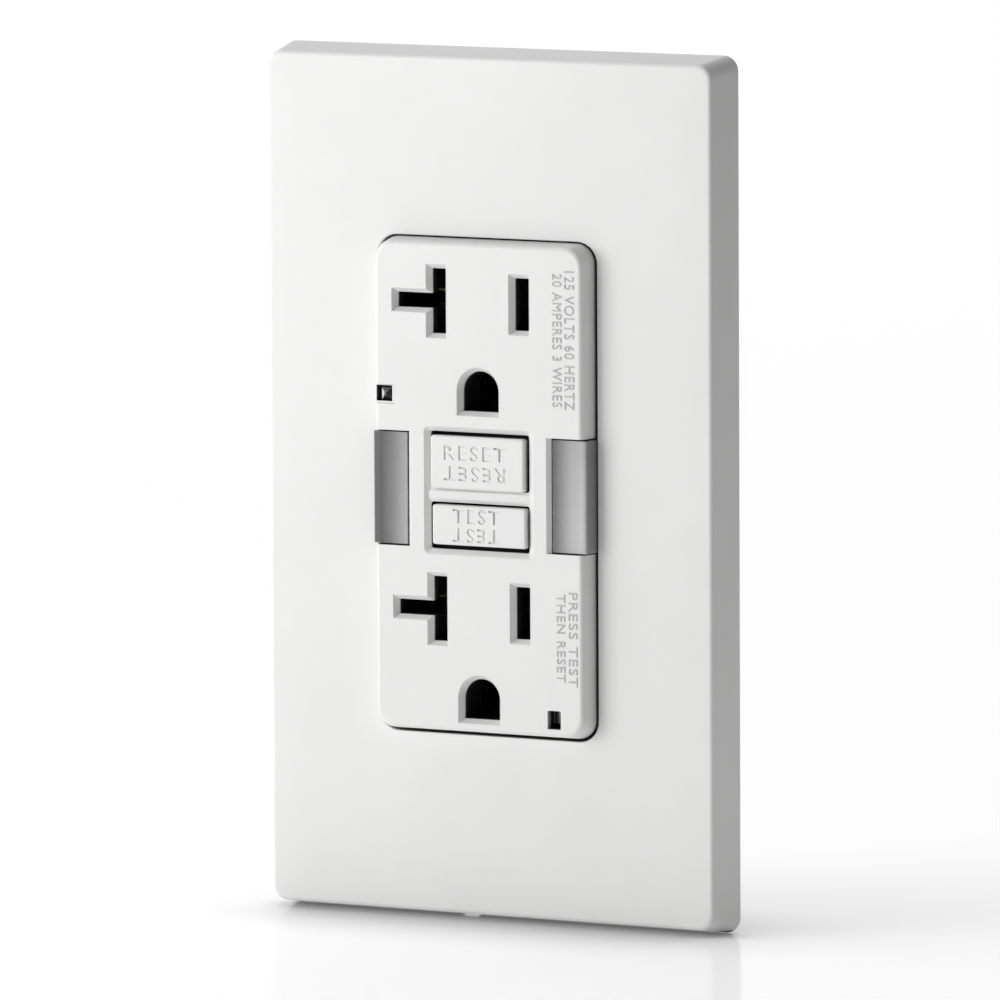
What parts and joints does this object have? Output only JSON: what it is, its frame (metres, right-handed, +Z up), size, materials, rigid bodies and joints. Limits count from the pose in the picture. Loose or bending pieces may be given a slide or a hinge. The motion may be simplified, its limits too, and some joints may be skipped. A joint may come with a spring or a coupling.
{
  "type": "gfci outlet",
  "caption": "Duplex ground-fault receptacle with T slots, guide-light windows, test and reset buttons, a metal strap, a back body with wire terminals, and a clip-on wallplate.",
  "frame": {"origin": "centre of the device on the wall surface, in the plane of the backs of the strap ears and of the wallplate rim", "axes": "+X to the right seen from the room, +Y into the wall, +Z up; the outlet face looks towards -Y"},
  "size_m": [0.0698, 0.0357, 0.1172],
  "materials": {
    "white_plastic": "satin moulded white",
    "smoke_lens": "smooth translucent grey",
    "clear_lens": "smooth clear",
    "zinc_steel": "bright zinc plate",
    "brass": "bright brass",
    "green_screw": "green dyed zinc plate",
    "dark_housing": "fine matt texture",
    "chip_black": "matt black",
    "blue_coating": "dipped epoxy",
    "board_green": "solder-masked laminate",
    "copper": "bare and enamelled copper",
    "amber_lens": "cast resin"
  },
  "bodies": {
    "receptacle": {"subplate": "white_plastic", "face_cover": "white_plastic", "guide_lens_left": "smoke_lens", "guide_lens_right": "smoke_lens", "sensor_lens": "clear_lens", "indicator_light_pipe": "clear_lens", "strap": "zinc_steel", "assembly_screw_1": "zinc_steel", "assembly_screw_2": "zinc_steel", "assembly_screw_3": "zinc_steel", "assembly_screw_4": "zinc_steel", "reset_spring": "zinc_steel", "solenoid_yoke": "zinc_steel", "plunger_spring": "zinc_steel", "load_hot_plate": "brass", "load_neutral_plate": "brass", "line_hot_plate": "brass", "line_neutral_plate": "brass", "hot_contact_strip": "brass", "neutral_contact_strip": "brass", "ground_contact_upper": "brass", "ground_contact_lower": "brass", "middle_housing": "dark_housing", "rear_housing": "dark_housing", "solenoid_bobbin": "dark_housing", "control_chip": "chip_black", "varistor": "blue_coating", "circuit_board": "board_green", "led_strip_left": "board_green", "led_strip_right": "board_green", "line_conductor_hot": "copper", "line_conductor_neutral": "copper", "solenoid_coil": "copper", "sensing_transformer": "copper", "grounding_transformer": "copper", "photocell": "amber_lens"},
    "plate": {"wallplate": "white_plastic"},
    "reset": {"reset_button": "white_plastic", "reset_pin": "zinc_steel"},
    "test": {"test_button": "white_plastic"},
    "test_leaf": {"test_arm": "copper"},
    "solenoid_plunger": {"plunger": "zinc_steel"},
    "lifter_block": {"lifter": "white_plastic"},
    "latch": {"latch_plate": "zinc_steel"},
    "hot_arm": {"contact_arm_hot": "copper"},
    "neutral_arm": {"contact_arm_neutral": "copper"},
    "top_box_screw": {"box_screw_top": "zinc_steel"},
    "bottom_box_screw": {"box_screw_bottom": "zinc_steel"},
    "top_plate_screw": {"subplate_screw_top": "zinc_steel"},
    "bottom_plate_screw": {"subplate_screw_bottom": "zinc_steel"},
    "ground_wire_clamp": {"ground_clamp": "zinc_steel"},
    "ground_wire_screw": {"ground_screw": "green_screw"},
    "load_hot_wire_clamp": {"load_hot_clamp": "zinc_steel"},
    "load_hot_wire_screw": {"load_hot_screw": "brass"},
    "load_neutral_wire_clamp": {"load_neutral_clamp": "zinc_steel"},
    "load_neutral_wire_screw": {"load_neutral_screw": "zinc_steel"},
    "line_hot_wire_clamp": {"line_hot_clamp": "zinc_steel"},
    "line_hot_wire_screw": {"line_hot_screw": "brass"},
    "line_neutral_wire_clamp": {"line_neutral_clamp": "zinc_steel"},
    "line_neutral_wire_screw": {"line_neutral_screw": "zinc_steel"}
  },
  "joints": [
    {"name": "plate_pull_off", "type": "slide", "parent": "receptacle", "child": "plate", "axis": [0, -1, 0], "range_m": [0, 0.02]},
    {"name": "reset_press", "type": "slide", "parent": "receptacle", "child": "reset", "axis": [0, 1, 0], "range_m": [0, 0.002], "stiffness_N_per_m": 1200, "springref_m": -0.001, "deforming": ["reset_spring"]},
    {"name": "test_press", "type": "slide", "parent": "receptacle", "child": "test", "axis": [0, 1, 0], "range_m": [0, 0.0016], "stiffness_N_per_m": 900, "springref_m": -0.001},
    {"name": "test_leaf_bend", "type": "hinge", "parent": "receptacle", "child": "test_leaf", "pos_m": [0, 0.0027, -0.0141], "axis": [-1, 0, 0], "range_deg": [0, 10]},
    {"name": "plunger_stroke", "type": "slide", "parent": "receptacle", "child": "solenoid_plunger", "axis": [0, 0, -1], "range_m": [0, 0.0015], "stiffness_N_per_m": 150, "springref_m": -0.0015, "deforming": ["plunger_spring"]},
    {"name": "lifter_travel", "type": "slide", "parent": "receptacle", "child": "lifter_block", "axis": [0, -1, 0], "range_m": [0, 0.00135], "stiffness_N_per_m": 400, "springref_m": -0.0005},
    {"name": "latch_slide", "type": "slide", "parent": "lifter_block", "child": "latch", "axis": [0, 0, -1], "range_m": [0, 0.0015]},
    {"name": "hot_arm_lift", "type": "hinge", "parent": "receptacle", "child": "hot_arm", "pos_m": [0.0064, 0.00915, -0.0123], "axis": [1, 0, 0], "range_deg": [0, 4.7]},
    {"name": "neutral_arm_lift", "type": "hinge", "parent": "receptacle", "child": "neutral_arm", "pos_m": [-0.0064, 0.00915, -0.0123], "axis": [1, 0, 0], "range_deg": [0, 4.7]},
    {"name": "load_hot_clamp_slide", "type": "slide", "parent": "receptacle", "child": "load_hot_wire_clamp", "axis": [1, 0, 0], "range_m": [0, 0.0025]},
    {"name": "load_hot_screw_turn", "type": "hinge", "parent": "load_hot_wire_clamp", "child": "load_hot_wire_screw", "pos_m": [0.021, 0.0095, 0.016], "axis": [1, 0, 0], "range_deg": [0, 1134]},
    {"name": "load_neutral_clamp_slide", "type": "slide", "parent": "receptacle", "child": "load_neutral_wire_clamp", "axis": [-1, 0, 0], "range_m": [0, 0.0025]},
    {"name": "load_neutral_screw_turn", "type": "hinge", "parent": "load_neutral_wire_clamp", "child": "load_neutral_wire_screw", "pos_m": [-0.021, 0.0095, 0.016], "axis": [-1, 0, 0], "range_deg": [0, 1134]},
    {"name": "line_hot_clamp_slide", "type": "slide", "parent": "receptacle", "child": "line_hot_wire_clamp", "axis": [1, 0, 0], "range_m": [0, 0.0025]},
    {"name": "line_hot_screw_turn", "type": "hinge", "parent": "line_hot_wire_clamp", "child": "line_hot_wire_screw", "pos_m": [0.021, 0.0095, -0.016], "axis": [1, 0, 0], "range_deg": [0, 1134]},
    {"name": "line_neutral_clamp_slide", "type": "slide", "parent": "receptacle", "child": "line_neutral_wire_clamp", "axis": [-1, 0, 0], "range_m": [0, 0.0025]},
    {"name": "line_neutral_screw_turn", "type": "hinge", "parent": "line_neutral_wire_clamp", "child": "line_neutral_wire_screw", "pos_m": [-0.021, 0.0095, -0.016], "axis": [-1, 0, 0], "range_deg": [0, 1134]},
    {"name": "ground_clamp_slide", "type": "slide", "parent": "receptacle", "child": "ground_wire_clamp", "axis": [0, 0, -1], "range_m": [0, 0.0025]},
    {"name": "ground_screw_turn", "type": "hinge", "parent": "ground_wire_clamp", "child": "ground_wire_screw", "pos_m": [0.0115, 0.0095, -0.0385], "axis": [0, 0, -1], "range_deg": [0, 1134]},
    {"name": "top_box_screw_turn", "type": "hinge", "parent": "receptacle", "child": "top_box_screw", "pos_m": [0, 0, 0.04167], "axis": [0, -1, 0], "continuous": true},
    {"name": "bottom_box_screw_turn", "type": "hinge", "parent": "receptacle", "child": "bottom_box_screw", "pos_m": [0, 0, -0.04167], "axis": [0, -1, 0], "continuous": true},
    {"name": "top_plate_screw_turn", "type": "hinge", "parent": "receptacle", "child": "top_plate_screw", "pos_m": [0, 0, 0.04842], "axis": [0, -1, 0], "continuous": true},
    {"name": "bottom_plate_screw_turn", "type": "hinge", "parent": "receptacle", "child": "bottom_plate_screw", "pos_m": [0, 0, -0.04842], "axis": [0, -1, 0], "continuous": true}
  ],
  "couplings": [
    {"joint": "test_leaf_bend", "follows": "test_press", "rad_per_m": 108.1},
    {"joint": "latch_slide", "follows": "plunger_stroke", "ratio": 1},
    {"joint": "hot_arm_lift", "follows": "lifter_travel", "rad_per_m": 60.24},
    {"joint": "neutral_arm_lift", "follows": "lifter_travel", "rad_per_m": 60.24},
    {"joint": "load_hot_screw_turn", "follows": "load_hot_clamp_slide", "rad_per_m": 7913.9},
    {"joint": "load_neutral_screw_turn", "follows": "load_neutral_clamp_slide", "rad_per_m": 7913.9},
    {"joint": "line_hot_screw_turn", "follows": "line_hot_clamp_slide", "rad_per_m": 7913.9},
    {"joint": "line_neutral_screw_turn", "follows": "line_neutral_clamp_slide", "rad_per_m": 7913.9},
    {"joint": "ground_screw_turn", "follows": "ground_clamp_slide", "rad_per_m": 7913.9}
  ]
}
